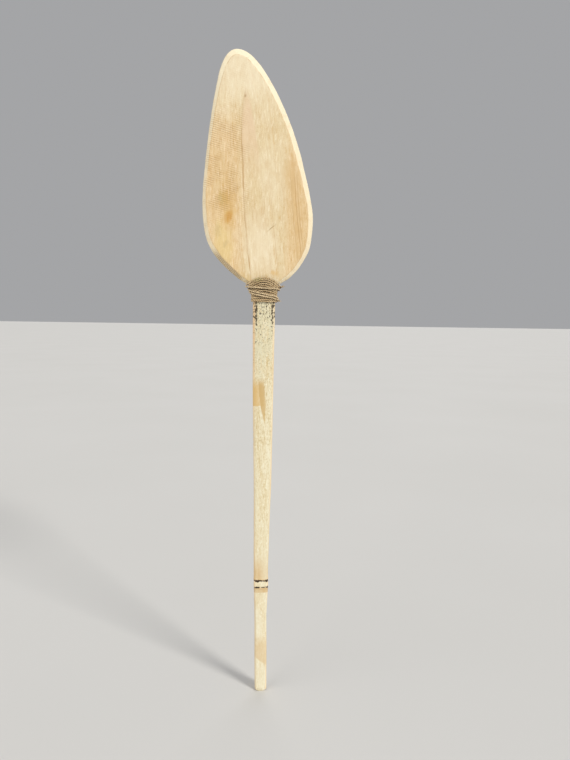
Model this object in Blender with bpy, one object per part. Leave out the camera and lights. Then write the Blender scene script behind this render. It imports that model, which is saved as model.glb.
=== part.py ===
"""Single-bladed wooden paddle: a carved blade, lapped on to a split-bamboo handle, pegged and lashed with twine.

Metres. The paddle stands upright on its butt: +Z runs up the handle to the blade's tip, the front of the
blade faces -Y, and the origin is the middle of the flat butt end.
"""

import math

import bmesh
import bpy
from mathutils import Vector
from mathutils.geometry import interpolate_bezier

MM = 0.001
GAP = 0.3 * MM
SHARP_ANGLE = math.radians(35)

# Handle: a slat split from a thick culm, with its skin in front and its planed inner side behind.
# Each station is (height, left edge, right edge).
HANDLE_STATIONS = (
    (0.000, -0.0069, 0.0083),
    (0.040, -0.0075, 0.0081),
    (0.104, -0.0082, 0.0073),
    (0.128, -0.0089, 0.0083),
    (0.145, -0.0094, 0.0089),
    (0.165, -0.0097, 0.0086),
    (0.215, -0.0099, 0.0095),
    (0.280, -0.0105, 0.0114),
    (0.345, -0.0119, 0.0122),
    (0.410, -0.0130, 0.0127),
    (0.480, -0.0135, 0.0136),
    (0.535, -0.0136, 0.0136),
)
HANDLE_TOP = 0.5325
HANDLE_FRONT = -4.5 * MM
HANDLE_BACK = 4.0 * MM
CULM_RADIUS = 50 * MM
SKIN_CHAMFER_SHARE = 0.20
SKIN_CHAMFER_DEPTH = 1.3 * MM
BACK_ARRIS = 0.7 * MM
BUTT_ROUNDING = 3.0 * MM
TOP_ROUNDING = 12 * MM
NODE_HEIGHT = 0.1457
NODE_SWELL = 0.9 * MM
NODE_HALF_LENGTH = 6 * MM

# Lap: the handle is halved from behind, and the blade's tang from the front. The tang is also thinned from
# behind, up to a sloping shoulder, so that the lashing lies no prouder than the blade's back.
LAP_BOTTOM = 0.5045
LAP_PLANE = 0.0
TANG_BACK = 4.3 * MM
SHOULDER_START = 0.5290
SHOULDER_END = 0.5345

# Blade. Each anchor of its outline is (x, height, width of the front bevel there).
BLADE_FRONT = -2.5 * MM
BLADE_BACK = 8.5 * MM
BACK_BEVEL_SHARE = 0.75
TANG_BEVEL = 1.2 * MM
TANG_BOTTOM = LAP_BOTTOM + GAP
RIGHT_NECK = (
    (0.0136, TANG_BOTTOM, TANG_BEVEL),
    (0.0137, 0.5150, TANG_BEVEL),
    (0.0145, 0.5212, 0.0016),
    (0.0178, 0.5266, 0.0030),
)
RIGHT_SIDE = (
    (0.0240, 0.5308, 0.0045),
    (0.0307, 0.5350, 0.0052),
    (0.0440, 0.5498, 0.0058),
    (0.0551, 0.5717, 0.0064),
    (0.0586, 0.6004, 0.0070),
    (0.0572, 0.6216, 0.0074),
    (0.0474, 0.6636, 0.0076),
    (0.0322, 0.7116, 0.0076),
    (0.0097, 0.7583, 0.0078),
    (-0.0142, 0.7907, 0.0086),
)
TIP = (-0.0325, 0.8000, 0.0090)
LEFT_SIDE = (
    (-0.0440, 0.7958, 0.0082),
    (-0.0526, 0.7815, 0.0066),
    (-0.0593, 0.7551, 0.0050),
    (-0.0652, 0.7212, 0.0045),
    (-0.0713, 0.6732, 0.0045),
    (-0.0747, 0.6370, 0.0045),
    (-0.0746, 0.6107, 0.0048),
    (-0.0711, 0.5827, 0.0055),
    (-0.0607, 0.5617, 0.0062),
    (-0.0480, 0.5477, 0.0060),
    (-0.0319, 0.5338, 0.0052),
    (-0.0241, 0.5291, 0.0042),
)
LEFT_NECK = (
    (-0.0186, 0.5257, 0.0030),
    (-0.0148, 0.5205, 0.0016),
    (-0.0137, 0.5145, TANG_BEVEL),
    (-0.0136, TANG_BOTTOM, TANG_BEVEL),
)
STEPS_PER_SPAN = 4
# The bevel from the face to the edge: (share of its width still to go, depth below the face).
BEVEL_PROFILE = ((1.0, 0.0), (0.85, 0.25 * MM), (0.15, 2.6 * MM), (0.04, 3.2 * MM), (0.0, 4.0 * MM))

# Pegs through the lap.
PEG_RADIUS = 2.0 * MM
PEG_HEIGHTS = {"peg_lower": 0.5115, "peg_upper": 0.5235}
PEG_FRONT = HANDLE_FRONT + 0.4 * MM
PEG_BACK = TANG_BACK - 0.4 * MM

# Twine: a base layer of close turns, and a second length crossed over it.
TWINE_RADIUS = 0.75 * MM
TWINE_SIDES = 8
TWINE_SLACK = 0.5 * MM
TURN_PITCH = 1.75 * MM
BASE_HALF_TURNS = 23
BASE_FIRST_TURN = 0.5059
CORE_CORNER = 0.4 * MM
# Turns of the base layer climb in front, over the handle's rounded end: the last ones by ARCH_RISE.
ARCH_START = 0.5060
ARCH_END = 0.5260
ARCH_RISE = 9.0 * MM
# Where the second length passes the sides: right, left, right, left and so on, from its lower end.
CROSS_SIDE_HEIGHTS = (0.5068, 0.5178, 0.5090, 0.5210, 0.5205, 0.5240, 0.5235)
TAIL_LENGTH = 6 * MM
LOWER_TAIL = Vector((0.50, 0.80, -0.25))
UPPER_TAIL = Vector((0.55, -0.80, 0.15))

COLOURS = {
    "blade_wood": ((0.84, 0.72, 0.50), 0.65),
    "bamboo": ((0.83, 0.76, 0.55), 0.42),
    "peg_bamboo": ((0.70, 0.55, 0.32), 0.6),
    "jute_twine": ((0.47, 0.35, 0.20), 0.95),
}


def clear_scene():
    for obj in list(bpy.data.objects):
        bpy.data.objects.remove(obj, do_unlink=True)


def make_collection(name):
    collection = bpy.data.collections.new(name)
    bpy.context.scene.collection.children.link(collection)
    return collection


def make_material(name):
    colour, roughness = COLOURS[name]
    material = bpy.data.materials.new(name)
    material.use_nodes = True
    shader = material.node_tree.nodes["Principled BSDF"]
    shader.inputs["Base Color"].default_value = (*colour, 1)
    shader.inputs["Roughness"].default_value = roughness
    shader.inputs["Metallic"].default_value = 0
    return material


def add_object(name, data, collection, material=None):
    obj = bpy.data.objects.new(name, data)
    collection.objects.link(obj)
    if material:
        data.materials.append(material)
    return obj


def smoothstep(share):
    share = min(max(share, 0), 1)
    return share * share * (3 - 2 * share)


def between(stations, height):
    """The values of the stations at this height, straight between one station and the next."""
    lower, upper = stations[0], stations[-1]
    for first, second in zip(stations, stations[1:]):
        if first[0] <= height <= second[0]:
            lower, upper = first, second
            break
    share = min(max((height - lower[0]) / (upper[0] - lower[0]), 0), 1)
    return [a + (b - a) * share for a, b in zip(lower[1:], upper[1:])]


def loft(name, rings):
    """A closed mesh through rings of equally many points, with a flat cap at each end."""
    mesh_maker = bmesh.new()
    rows = [[mesh_maker.verts.new(point) for point in ring] for ring in rings]
    for row, following in zip(rows, rows[1:]):
        for index in range(len(row)):
            after = (index + 1) % len(row)
            mesh_maker.faces.new((row[index], row[after], following[after], following[index]))
    mesh_maker.faces.new(rows[0])
    mesh_maker.faces.new(rows[-1])
    bmesh.ops.recalc_face_normals(mesh_maker, faces=mesh_maker.faces)
    mesh = bpy.data.meshes.new(name)
    mesh_maker.to_mesh(mesh)
    mesh_maker.free()
    return mesh


def shade_round(obj):
    """Smooth shading, but for the edges that turn by more than SHARP_ANGLE."""
    obj.data.shade_smooth()
    obj.data.set_sharp_from_angle(angle=SHARP_ANGLE)


def cut(obj, cutter):
    modifier = obj.modifiers.new("cut_" + cutter.name, "BOOLEAN")
    modifier.operation = "DIFFERENCE"
    modifier.object = cutter


def move_to(obj, collection):
    for other in list(obj.users_collection):
        other.objects.unlink(obj)
    collection.objects.link(obj)


def as_cutter(obj, name, cutters):
    move_to(obj, cutters)
    obj.name = name
    obj.hide_render = True
    obj.display_type = "WIRE"


# ---------------------------------------------------------------- handle


def end_narrowing(height):
    """How far each edge of the handle draws in at this height, to round the butt and the upper end."""
    if height < BUTT_ROUNDING:
        drop = BUTT_ROUNDING - height
        return BUTT_ROUNDING - math.sqrt(BUTT_ROUNDING**2 - drop**2)
    if height > HANDLE_TOP - TOP_ROUNDING:
        rise = min(height - (HANDLE_TOP - TOP_ROUNDING), TOP_ROUNDING)
        return TOP_ROUNDING - math.sqrt(TOP_ROUNDING**2 - rise**2)
    return 0


def handle_edges(height):
    left, right = between(HANDLE_STATIONS, height)
    narrowing = end_narrowing(height)
    return left + narrowing, right - narrowing


def handle_section(height):
    """One cross-section, anticlockwise from above: curved skin in front, shaved sides, flat planed back."""
    left, right = handle_edges(height)
    middle = (left + right) / 2
    half_width = (right - left) / 2
    skin_half = half_width * (1 - SKIN_CHAMFER_SHARE)
    swell = NODE_SWELL * math.exp(-(((height - NODE_HEIGHT) / NODE_HALF_LENGTH) ** 2))

    def skin_y(offset):
        return HANDLE_FRONT - swell + CULM_RADIUS - math.sqrt(CULM_RADIUS**2 - offset**2)

    side_y = skin_y(skin_half) + SKIN_CHAMFER_DEPTH
    points = [(left, side_y)]
    for step in range(-3, 4):
        offset = skin_half * step / 3
        points.append((middle + offset, skin_y(offset)))
    points += [
        (right, side_y),
        (right, HANDLE_BACK - BACK_ARRIS),
        (right - BACK_ARRIS, HANDLE_BACK),
        (left + BACK_ARRIS, HANDLE_BACK),
        (left, HANDLE_BACK - BACK_ARRIS),
    ]
    return [(x, y, height) for x, y in points]


def handle_heights():
    """The stations' heights, with more of them in the rounded ends and over the node."""
    upper_start = HANDLE_TOP - TOP_ROUNDING
    heights = [BUTT_ROUNDING * share for share in (0, 0.06, 0.25, 0.55, 1)]
    heights += [station[0] for station in HANDLE_STATIONS if BUTT_ROUNDING < station[0] < upper_start]
    heights += [NODE_HEIGHT + NODE_HALF_LENGTH * step / 2 for step in (-4, -3, -2, -1, 1, 2, 3, 4)]
    heights += [HANDLE_TOP - TOP_ROUNDING * share for share in (1, 0.75, 0.5, 0.3, 0.15, 0.05, 0)]
    return sorted(heights)


def make_handle(parts, cutters):
    rings = [handle_section(height) for height in handle_heights()]
    handle = add_object("bamboo_handle", loft("bamboo_handle", rings), parts, make_material("bamboo"))
    shade_round(handle)

    width = 4 * HANDLE_STATIONS[-1][2]
    depth = 2 * HANDLE_BACK
    length = 2 * (HANDLE_TOP - LAP_BOTTOM)
    bpy.ops.mesh.primitive_cube_add(size=1)
    halving = bpy.context.object
    halving.scale = (width, depth, length)
    halving.location = (0, LAP_PLANE - GAP / 2 + depth / 2, LAP_BOTTOM + length / 2)
    as_cutter(halving, "handle_halving", cutters)
    cut(handle, halving)
    return handle


# ---------------------------------------------------------------- blade


def smooth_path(anchors):
    """Points along a smooth curve through the anchors: (x, height, bevel width). The first and last are corners."""
    tangents = []
    for index, anchor in enumerate(anchors):
        before = anchors[max(index - 1, 0)]
        after = anchors[min(index + 1, len(anchors) - 1)]
        tangents.append(Vector((after[0] - before[0], after[1] - before[1], 0)).normalized())
    path = []
    for index in range(len(anchors) - 1):
        start = Vector((*anchors[index][:2], 0))
        end = Vector((*anchors[index + 1][:2], 0))
        reach = (end - start).length / 3
        controls = (start, start + tangents[index] * reach, end - tangents[index + 1] * reach, end)
        for step, point in enumerate(interpolate_bezier(*controls, STEPS_PER_SPAN + 1)[:-1]):
            bevel = anchors[index][2] + (anchors[index + 1][2] - anchors[index][2]) * step / STEPS_PER_SPAN
            path.append((point.x, point.y, bevel))
    path.append(anchors[-1])
    return path


def inward_normals(path):
    """For each point of an outline that runs anticlockwise as seen from the front, the unit normal into the wood."""
    normals = []
    for index in range(len(path)):
        before, after = path[index - 1], path[(index + 1) % len(path)]
        along = Vector((after[0] - before[0], after[1] - before[1])).normalized()
        normals.append((-along.y, along.x))
    return normals


def blade_ring(path, normals, share, y):
    """The outline drawn in by a share of the bevel's width, at one depth."""
    ring = []
    for (x, height, bevel), (normal_x, normal_z) in zip(path, normals):
        ring.append((x + normal_x * bevel * share, y, height + normal_z * bevel * share))
    return ring


def make_blade(parts, cutters):
    path = smooth_path(RIGHT_NECK + RIGHT_SIDE + (TIP,) + LEFT_SIDE + LEFT_NECK)
    normals = inward_normals(path)
    front = [blade_ring(path, normals, share, BLADE_FRONT + depth) for share, depth in BEVEL_PROFILE]
    back = [
        blade_ring(path, normals, share * BACK_BEVEL_SHARE, BLADE_BACK - depth)
        for share, depth in reversed(BEVEL_PROFILE)
    ]
    blade = add_object("blade", loft("blade", front + back), parts, make_material("blade_wood"))
    shade_round(blade)

    low = LAP_BOTTOM - BUTT_ROUNDING
    seat_back = LAP_PLANE + GAP / 2
    sections = []
    for height in [low] + [z for z in handle_heights() if z > LAP_BOTTOM]:
        left, right = handle_edges(height)
        corners = ((left - GAP, 2 * HANDLE_FRONT), (right + GAP, 2 * HANDLE_FRONT))
        corners += ((right + GAP, seat_back), (left - GAP, seat_back))
        sections.append([(x, y, height + GAP) for x, y in corners])
    seat = add_object("blade_seat", loft("blade_seat", sections), cutters)
    as_cutter(seat, "blade_seat", cutters)
    cut(blade, seat)

    beyond_back = BLADE_BACK + (BLADE_BACK - TANG_BACK)
    beyond_shoulder = 2 * SHOULDER_END - SHOULDER_START
    profile = ((TANG_BACK, low), (TANG_BACK, SHOULDER_START), (beyond_back, beyond_shoulder), (beyond_back, low))
    reach = RIGHT_SIDE[1][0]
    sides = [[(x, y, height) for y, height in profile] for x in (-reach, reach)]
    thinning = add_object("tang_thinning", loft("tang_thinning", sides), cutters)
    as_cutter(thinning, "tang_thinning", cutters)
    cut(blade, thinning)
    return blade


# ---------------------------------------------------------------- pegs


def peg_cylinder(name, radius, front, back, height):
    bpy.ops.mesh.primitive_cylinder_add(vertices=24, radius=radius, depth=back - front)
    cylinder = bpy.context.object
    cylinder.rotation_euler = (math.pi / 2, 0, 0)
    cylinder.location = (0, (front + back) / 2, height)
    cylinder.name = name
    return cylinder


def make_pegs(parts, cutters, pegged):
    material = make_material("peg_bamboo")
    for name, height in PEG_HEIGHTS.items():
        peg = peg_cylinder(name, PEG_RADIUS, PEG_FRONT, PEG_BACK, height)
        move_to(peg, parts)
        peg.data.materials.append(material)
        shade_round(peg)
        bore = peg_cylinder(name, PEG_RADIUS + GAP, 2 * HANDLE_FRONT, 2 * BLADE_BACK, height)
        as_cutter(bore, name + "_bore", cutters)
        for obj in pegged:
            cut(obj, bore)


# ---------------------------------------------------------------- twine


def core_edges(height):
    """The edges of what the twine goes round: the tang, which covers the handle's width."""
    left = between([(z, x) for x, z, _ in (LEFT_NECK[::-1] + LEFT_SIDE[:-3:-1])], height)[0]
    right = between([(z, x) for x, z, _ in (RIGHT_NECK + RIGHT_SIDE[:2])], height)[0]
    return left, right


def half_turn(half_x, half_y, radius, side):
    """Half a turn round a rounded rectangle: across the front to the left for side 1, back behind for side -1.

    Each stop is (x, y, and the x and y of the direction outwards).
    """
    corner_x, corner_y = half_x - radius, half_y - radius
    arc = [(math.cos(math.radians(angle)), math.sin(math.radians(angle))) for angle in (0, 30, 60, 90)]
    stops = [(half_x, 0, 1, 0)]
    stops += [(corner_x + radius * c, corner_y + radius * s, c, s) for c, s in arc]
    stops += [(corner_x * share, half_y, 0, 1) for share in (0.7, 0.35, 0, -0.35, -0.7)]
    stops += [(-corner_x - radius * c, corner_y + radius * s, -c, s) for c, s in reversed(arc)]
    return [(x * side, -y * side, out_x * side, -out_y * side) for x, y, out_x, out_y in stops]


def arch(height, across):
    """How much higher a turn runs in front than at the sides; across is 0 in the middle and 1 at a side."""
    rise = ARCH_RISE * smoothstep((height - ARCH_START) / (ARCH_END - ARCH_START))
    return rise * (1 - min(abs(across), 1) ** 2)


def winding_route(side_heights, layer):
    """Stops of a length of twine that passes the right and left sides at these heights in turn.

    Each stop is (a point of its centre line, the direction outwards there).
    """
    offset = TWINE_RADIUS + TWINE_SLACK + layer * (2 * TWINE_RADIUS + GAP)
    clear_of_flare = (layer + 1) * (TWINE_RADIUS + GAP)
    middle_y = (HANDLE_FRONT + TANG_BACK) / 2
    half_y = (TANG_BACK - HANDLE_FRONT) / 2 + offset
    route = []
    for index, (start, end) in enumerate(zip(side_heights, side_heights[1:])):
        side = -1 if index % 2 else 1
        stops = len(half_turn(1, 1, 0, side))
        for stop in range(stops):
            height = start + (end - start) * stop / stops
            left, right = core_edges(height + clear_of_flare)
            half_x = (right - left) / 2 + offset
            x, y, out_x, out_y = half_turn(half_x, half_y, CORE_CORNER + offset, side)[stop]
            rise = arch(height, x / half_x) if side == 1 and layer == 0 else 0
            point = Vector(((left + right) / 2 + x, middle_y + y, height + rise))
            route.append((point, Vector((out_x, out_y, 0))))
    left, right = core_edges(side_heights[-1] + clear_of_flare)
    ends_right = len(side_heights) % 2 == 1
    end_x = (right + offset) if ends_right else (left - offset)
    route.append((Vector((end_x, middle_y, side_heights[-1])), Vector((1 if ends_right else -1, 0, 0))))
    return route


def tail_from(stop, direction):
    """Stops of a short free end that leaves the route at this stop."""
    root, outwards = stop
    return [(root + direction.normalized() * TAIL_LENGTH * share, outwards) for share in (0.4, 0.7, 1)]


def twine_ring(before, stop, after):
    """The twine's outline square to its route, with a flat of it facing outwards."""
    point, outwards = stop
    along = (after[0] - before[0]).normalized()
    outwards = (outwards - along * outwards.dot(along)).normalized()
    across = along.cross(outwards)
    ring = []
    for index in range(TWINE_SIDES):
        angle = math.tau * (index + 0.5) / TWINE_SIDES
        ring.append(point + (outwards * math.cos(angle) + across * math.sin(angle)) * TWINE_RADIUS)
    return ring


def twine_object(name, route, parts, material):
    ended = [route[0]] + route + [route[-1]]
    rings = [twine_ring(*three) for three in zip(ended, ended[1:], ended[2:])]
    twine = add_object(name, loft(name, rings), parts, material)
    shade_round(twine)
    return twine


def make_lashing(parts):
    material = make_material("jute_twine")
    heights = [BASE_FIRST_TURN + TURN_PITCH / 2 * half for half in range(BASE_HALF_TURNS + 1)]
    twine_object("twine_base_winding", winding_route(heights, 0), parts, material)

    route = winding_route(CROSS_SIDE_HEIGHTS, 1)
    route = tail_from(route[0], LOWER_TAIL)[::-1] + route + tail_from(route[-1], UPPER_TAIL)
    twine_object("twine_cross_winding", route, parts, material)


def build():
    clear_scene()
    parts = make_collection("paddle")
    cutters = make_collection("cutters")
    handle = make_handle(parts, cutters)
    blade = make_blade(parts, cutters)
    make_pegs(parts, cutters, (handle, blade))
    make_lashing(parts)


build()
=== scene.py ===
import math
import random

import bpy
import numpy as np
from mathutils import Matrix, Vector, kdtree, noise


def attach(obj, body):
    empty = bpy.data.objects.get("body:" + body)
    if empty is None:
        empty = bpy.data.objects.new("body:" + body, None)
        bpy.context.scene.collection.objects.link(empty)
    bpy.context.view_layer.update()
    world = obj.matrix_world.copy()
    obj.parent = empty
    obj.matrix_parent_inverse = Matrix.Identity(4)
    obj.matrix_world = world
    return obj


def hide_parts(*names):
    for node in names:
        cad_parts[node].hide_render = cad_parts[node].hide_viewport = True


# The looks of a single-bladed paddle: a carved wooden blade, a split-bamboo handle and a jute lashing.
# The paddle stands on its butt at the origin, with its tip up +Z and its front facing -Y. Shapes are in
# millimetres until a mesh is made, and so are the coordinates inside the materials. The stage and the
# camera, which aren't part of the paddle, are in metres.

MM = 0.001

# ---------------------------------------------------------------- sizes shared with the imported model

HANDLE_FRONT = -4.5
HANDLE_BACK = 4.0
TANG_BACK = 4.3
BLADE_FRONT = -2.5
BLADE_BACK = 8.5
BLADE_FOOT = 537.0
# Height from which the bamboo is out of sight under the lashing.
LASHING_FOOT = 504.5
# Edges of what the twine goes round: (height, left, right).
CORE_STATIONS = (
    (504.8, -13.6, 13.6),
    (514.8, -13.7, 13.7),
    (521.0, -14.9, 14.5),
    (526.0, -18.9, 17.3),
    (529.5, -25.0, 22.0),
    (534.0, -32.2, 29.0),
)

# ---------------------------------------------------------------- blade's outline

BLADE_MIDDLE = (-8.0, 640.0)
# Directions round the middle in which the outline is read off the mesh.
RIM_SECTORS = 720
# How far along the rim its outline is evened out, how far in from the rim that reaches, and the height
# above the blade's foot from which it is in full.
RIM_SPREAD = 6.0
RIM_DEPTH = 24.0
RIM_FADE = 12.0

# ---------------------------------------------------------------- details of the handle

# Heights of the node's two dark rings, and of the nicks in the left edge.
UPPER_RING = 150.3
LOWER_RING = 141.5
NICK_HEIGHTS = (331.0, 336.5, 343.0)

# ---------------------------------------------------------------- twine

TWINE_RADIUS = 1.05
PLY_RADIUS = 0.62
PLY_OFFSET = 0.47
PLY_LAY = 5.2
PLY_SIDES = 9
TWINE_STEP = 0.36
# Steps over which a route is rounded off, and how many it looks ahead and back.
ROUTE_SPREAD = 2.2
ROUTE_REACH = 5
CORE_CORNER_RADIUS = 0.8
CORE_CLEARANCE = 0.12
LAYER_RISE = 1.85
TURN_PITCH = 1.75
BASE_HALF_TURNS = 23
BASE_FIRST_TURN = 505.9
ARCH_START = 506.0
ARCH_END = 526.0
ARCH_RISE = 9.0
FRONT_CROWN = 0.9
# Heights at which the second length passes the right side, then the left, and so on.
CROSS_SIDE_HEIGHTS = (506.8, 517.8, 509.0, 521.0, 520.5, 524.0, 523.5)
LOWER_TAIL = Vector((0.75, -0.35, 0.55)) * 3.4
UPPER_TAIL = Vector((0.70, -0.30, 0.60)) * 4.6
HAIRS_PER_MILLIMETRE = 0.9
HAIRS_PER_FREE_END = 46

# ---------------------------------------------------------------- stage

# Half the floor's side, in metres.
FLOOR_HALF = 80.0


# ================================================================ small helpers


def smoothstep(value, low, high):
    share = np.clip((value - low) / (high - low), 0, 1)
    return share * share * (3 - 2 * share)


def bell(value, centre, width):
    return np.exp(-(((value - centre) / width) ** 2))


def noise_at(points, scale, seed=0.0):
    """Smooth noise from -1 to 1 at each point. scale is cycles per millimetre along x, y and z."""
    places = points * np.array(scale) + seed
    return np.array([noise.noise(place) for place in places])


def lengths_along(points):
    """How far each point is from the first one, along the line through them all."""
    return np.concatenate(([0], np.cumsum(np.linalg.norm(np.diff(points, axis=0), axis=1))))


def rows_at(places, lengths, rows):
    """Rows of numbers known at some lengths, read off at other places between them."""
    return np.array([np.interp(places, lengths, column) for column in rows.T]).T


def smoothed(padded, reach, spread):
    """Rows averaged with reach neighbours on each side, which padded holds beyond both ends."""
    kernel = np.exp(-0.5 * (np.arange(-reach, reach + 1) / spread) ** 2)
    kernel /= kernel.sum()
    return np.array([np.convolve(column, kernel, mode="valid") for column in padded.T]).T


def vertex_values(mesh, name):
    """The vertices' "co" in metres or their "normal", one row each."""
    values = np.empty(len(mesh.vertices) * 3, np.float32)
    mesh.vertices.foreach_get(name, values)
    return values.reshape(-1, 3).astype(float)


def move_vertices(mesh, points):
    """Puts the mesh's vertices at these points, given in millimetres."""
    mesh.vertices.foreach_set("co", (points * MM).astype(np.float32).ravel())
    mesh.update()


def add_piece(name, mesh, replaced=()):
    """Puts a mesh in the scene as a piece that rides on the paddle's one body."""
    piece = bpy.data.objects.new(name, mesh)
    bpy.context.scene.collection.objects.link(piece)
    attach(piece, "root")
    if replaced:
        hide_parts(*replaced)


def twine_mesh(name, parts):
    """One smooth-shaded mesh of several (vertices, faces, strands, open).

    strands is each vertex's place along and round its ply, for the fibres. open is how far it faces out, for
    the jute's painted shade.
    """
    vertices, faces, start = [], [], 0
    for part in parts:
        vertices.append(part[0])
        faces += [tuple(start + index for index in face) for face in part[1]]
        start += len(part[0])
    mesh = bpy.data.meshes.new(name)
    mesh.from_pydata((np.vstack(vertices) * MM).tolist(), [], faces)
    mesh.shade_smooth()
    strands = mesh.attributes.new("strand", "FLOAT_VECTOR", "POINT")
    strands.data.foreach_set("vector", np.vstack([part[2] for part in parts]).astype(np.float32).ravel())
    facing = mesh.attributes.new("open", "FLOAT", "POINT")
    facing.data.foreach_set("value", np.concatenate([part[3] for part in parts]).astype(np.float32))
    return mesh


def refined(node, name, voxel, smoothing):
    """A copy of a CAD node's mesh with even small faces and softened corners, ready to be carved."""
    source = bpy.data.objects.new(name, node.data.copy())
    bpy.context.scene.collection.objects.link(source)
    remesh = source.modifiers.new("even_faces", "REMESH")
    remesh.mode = "VOXEL"
    remesh.voxel_size = voxel * MM
    smooth = source.modifiers.new("soften", "SMOOTH")
    smooth.factor = 0.5
    smooth.iterations = smoothing
    graph = bpy.context.evaluated_depsgraph_get()
    mesh = bpy.data.meshes.new_from_object(source.evaluated_get(graph))
    bpy.data.objects.remove(source)
    mesh.name = name
    mesh.materials.clear()
    mesh.shade_smooth()
    return mesh


def carve(mesh, depth_at):
    """Moves each vertex along its normal by depth_at(points, normals), but never below the floor."""
    points = vertex_values(mesh, "co") / MM
    normals = vertex_values(mesh, "normal")
    points += normals * depth_at(points, normals)[:, None]
    points[:, 2] = np.maximum(points[:, 2], 0.0)
    move_vertices(mesh, points)


# ================================================================ materials


class Look:
    """One procedural material. Its methods add shader nodes and give back the socket of their result."""

    def __init__(self, name):
        self.material = bpy.data.materials.new(name)
        self.material.use_nodes = True
        self.tree = self.material.node_tree
        self.shader = self.tree.nodes["Principled BSDF"]
        place = self.tree.nodes.new("ShaderNodeTexCoord").outputs["Object"]
        self.place = self.vector_math("SCALE", place, 1 / MM)
        split = self.tree.nodes.new("ShaderNodeSeparateXYZ")
        self.tree.links.new(self.place, split.inputs[0])
        self.x, self.y, self.z = split.outputs

    def put(self, socket, value):
        if isinstance(value, bpy.types.NodeSocket):
            self.tree.links.new(value, socket)
        elif isinstance(value, tuple) and socket.type == "RGBA":
            socket.default_value = (*value, 1)
        else:
            socket.default_value = value

    def math(self, operation, *values):
        node = self.tree.nodes.new("ShaderNodeMath")
        node.operation = operation
        for socket, value in zip(node.inputs, values):
            self.put(socket, value)
        return node.outputs[0]

    def vector_math(self, operation, vector, value):
        node = self.tree.nodes.new("ShaderNodeVectorMath")
        node.operation = operation
        self.put(node.inputs[0], vector)
        self.put(node.inputs["Scale"] if operation == "SCALE" else node.inputs[1], value)
        return node.outputs[0]

    def vector(self, x, y, z):
        node = self.tree.nodes.new("ShaderNodeCombineXYZ")
        for socket, value in zip(node.inputs, (x, y, z)):
            self.put(socket, value)
        return node.outputs[0]

    def attribute(self, name, output="Vector"):
        node = self.tree.nodes.new("ShaderNodeAttribute")
        node.attribute_name = name
        return node.outputs[output]

    def add(self, first, second):
        return self.math("ADD", first, second)

    def times(self, first, second):
        return self.math("MULTIPLY", first, second)

    def ramp(self, value, low, high, to_low=0.0, to_high=1.0):
        """to_low at low, to_high at high, and a smooth curve between them."""
        node = self.tree.nodes.new("ShaderNodeMapRange")
        node.interpolation_type = "SMOOTHSTEP"
        for name, given in (
            ("Value", value),
            ("From Min", low),
            ("From Max", high),
            ("To Min", to_low),
            ("To Max", to_high),
        ):
            self.put(node.inputs[name], given)
        return node.outputs["Result"]

    def bell(self, value, centre, width):
        """1 at the centre, falling to 0 within about twice the width."""
        share = self.math("DIVIDE", self.math("SUBTRACT", value, centre), width)
        return self.math("EXPONENT", self.times(self.times(share, share), -1.0))

    def noise(self, scale, detail=2.0, roughness=0.5, distortion=0.0, place=None, seed=0.0):
        """Noise around 0.5, its scale in cycles per millimetre along x, y and z."""
        node = self.tree.nodes.new("ShaderNodeTexNoise")
        stretched = self.vector_math("MULTIPLY", place or self.place, scale)
        self.put(node.inputs["Vector"], self.vector_math("ADD", stretched, (seed, seed, seed)))
        node.inputs["Scale"].default_value = 1
        node.inputs["Detail"].default_value = detail
        node.inputs["Roughness"].default_value = roughness
        node.inputs["Distortion"].default_value = distortion
        return node.outputs["Fac"]

    def cells(self, scale, seed=0.0):
        """Distance to the nearest of a scatter of points, from 0 on the point."""
        node = self.tree.nodes.new("ShaderNodeTexVoronoi")
        stretched = self.vector_math("MULTIPLY", self.place, scale)
        self.put(node.inputs["Vector"], self.vector_math("ADD", stretched, (seed, seed, seed)))
        node.inputs["Scale"].default_value = 1
        return node.outputs["Distance"]

    def mix(self, share, first, second, blend="MIX"):
        node = self.tree.nodes.new("ShaderNodeMix")
        node.data_type = "RGBA"
        node.blend_type = blend
        self.put(node.inputs[0], share)
        self.put(node.inputs[6], first)
        self.put(node.inputs[7], second)
        return node.outputs[2]

    def tint(self, colour, share, other):
        """The colour, multiplied by another one by a share."""
        return self.mix(share, colour, other, "MULTIPLY")

    def spot(self, centre, size, ragged=0.6, scale=0.25, slant=0.0, seed=0.0):
        """A stain seen from the front: centre (x, z), half sizes (x, z), slant in mm of x per mm of z."""
        from_middle = self.math("SUBTRACT", self.z, centre[1])
        across = self.math("SUBTRACT", self.x, centre[0])
        across = self.math("SUBTRACT", across, self.times(from_middle, slant))
        across = self.math("DIVIDE", across, size[0])
        along = self.math("DIVIDE", from_middle, size[1])
        far = self.math("SQRT", self.add(self.times(across, across), self.times(along, along)))
        rough = self.noise((scale, scale, scale * 0.5), 4.0, 0.6, seed=seed)
        far = self.add(far, self.times(self.math("SUBTRACT", rough, 0.5), ragged * 2))
        return self.ramp(far, 1.15, 0.25)

    def bump(self, height, distance, under=None):
        """A normal from a height of about 0 to 1, distance millimetres deep, over another normal."""
        node = self.tree.nodes.new("ShaderNodeBump")
        node.inputs["Distance"].default_value = distance * MM
        self.put(node.inputs["Height"], height)
        if under is not None:
            self.put(node.inputs["Normal"], under)
        return node.outputs["Normal"]

    def finish(self, colour, roughness, normal, specular=0.3, sheen=0.0):
        self.put(self.shader.inputs["Base Color"], colour)
        self.put(self.shader.inputs["Roughness"], roughness)
        self.put(self.shader.inputs["Normal"], normal)
        self.shader.inputs["Specular IOR Level"].default_value = specular
        self.shader.inputs["Sheen Weight"].default_value = sheen
        return self.material


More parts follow.
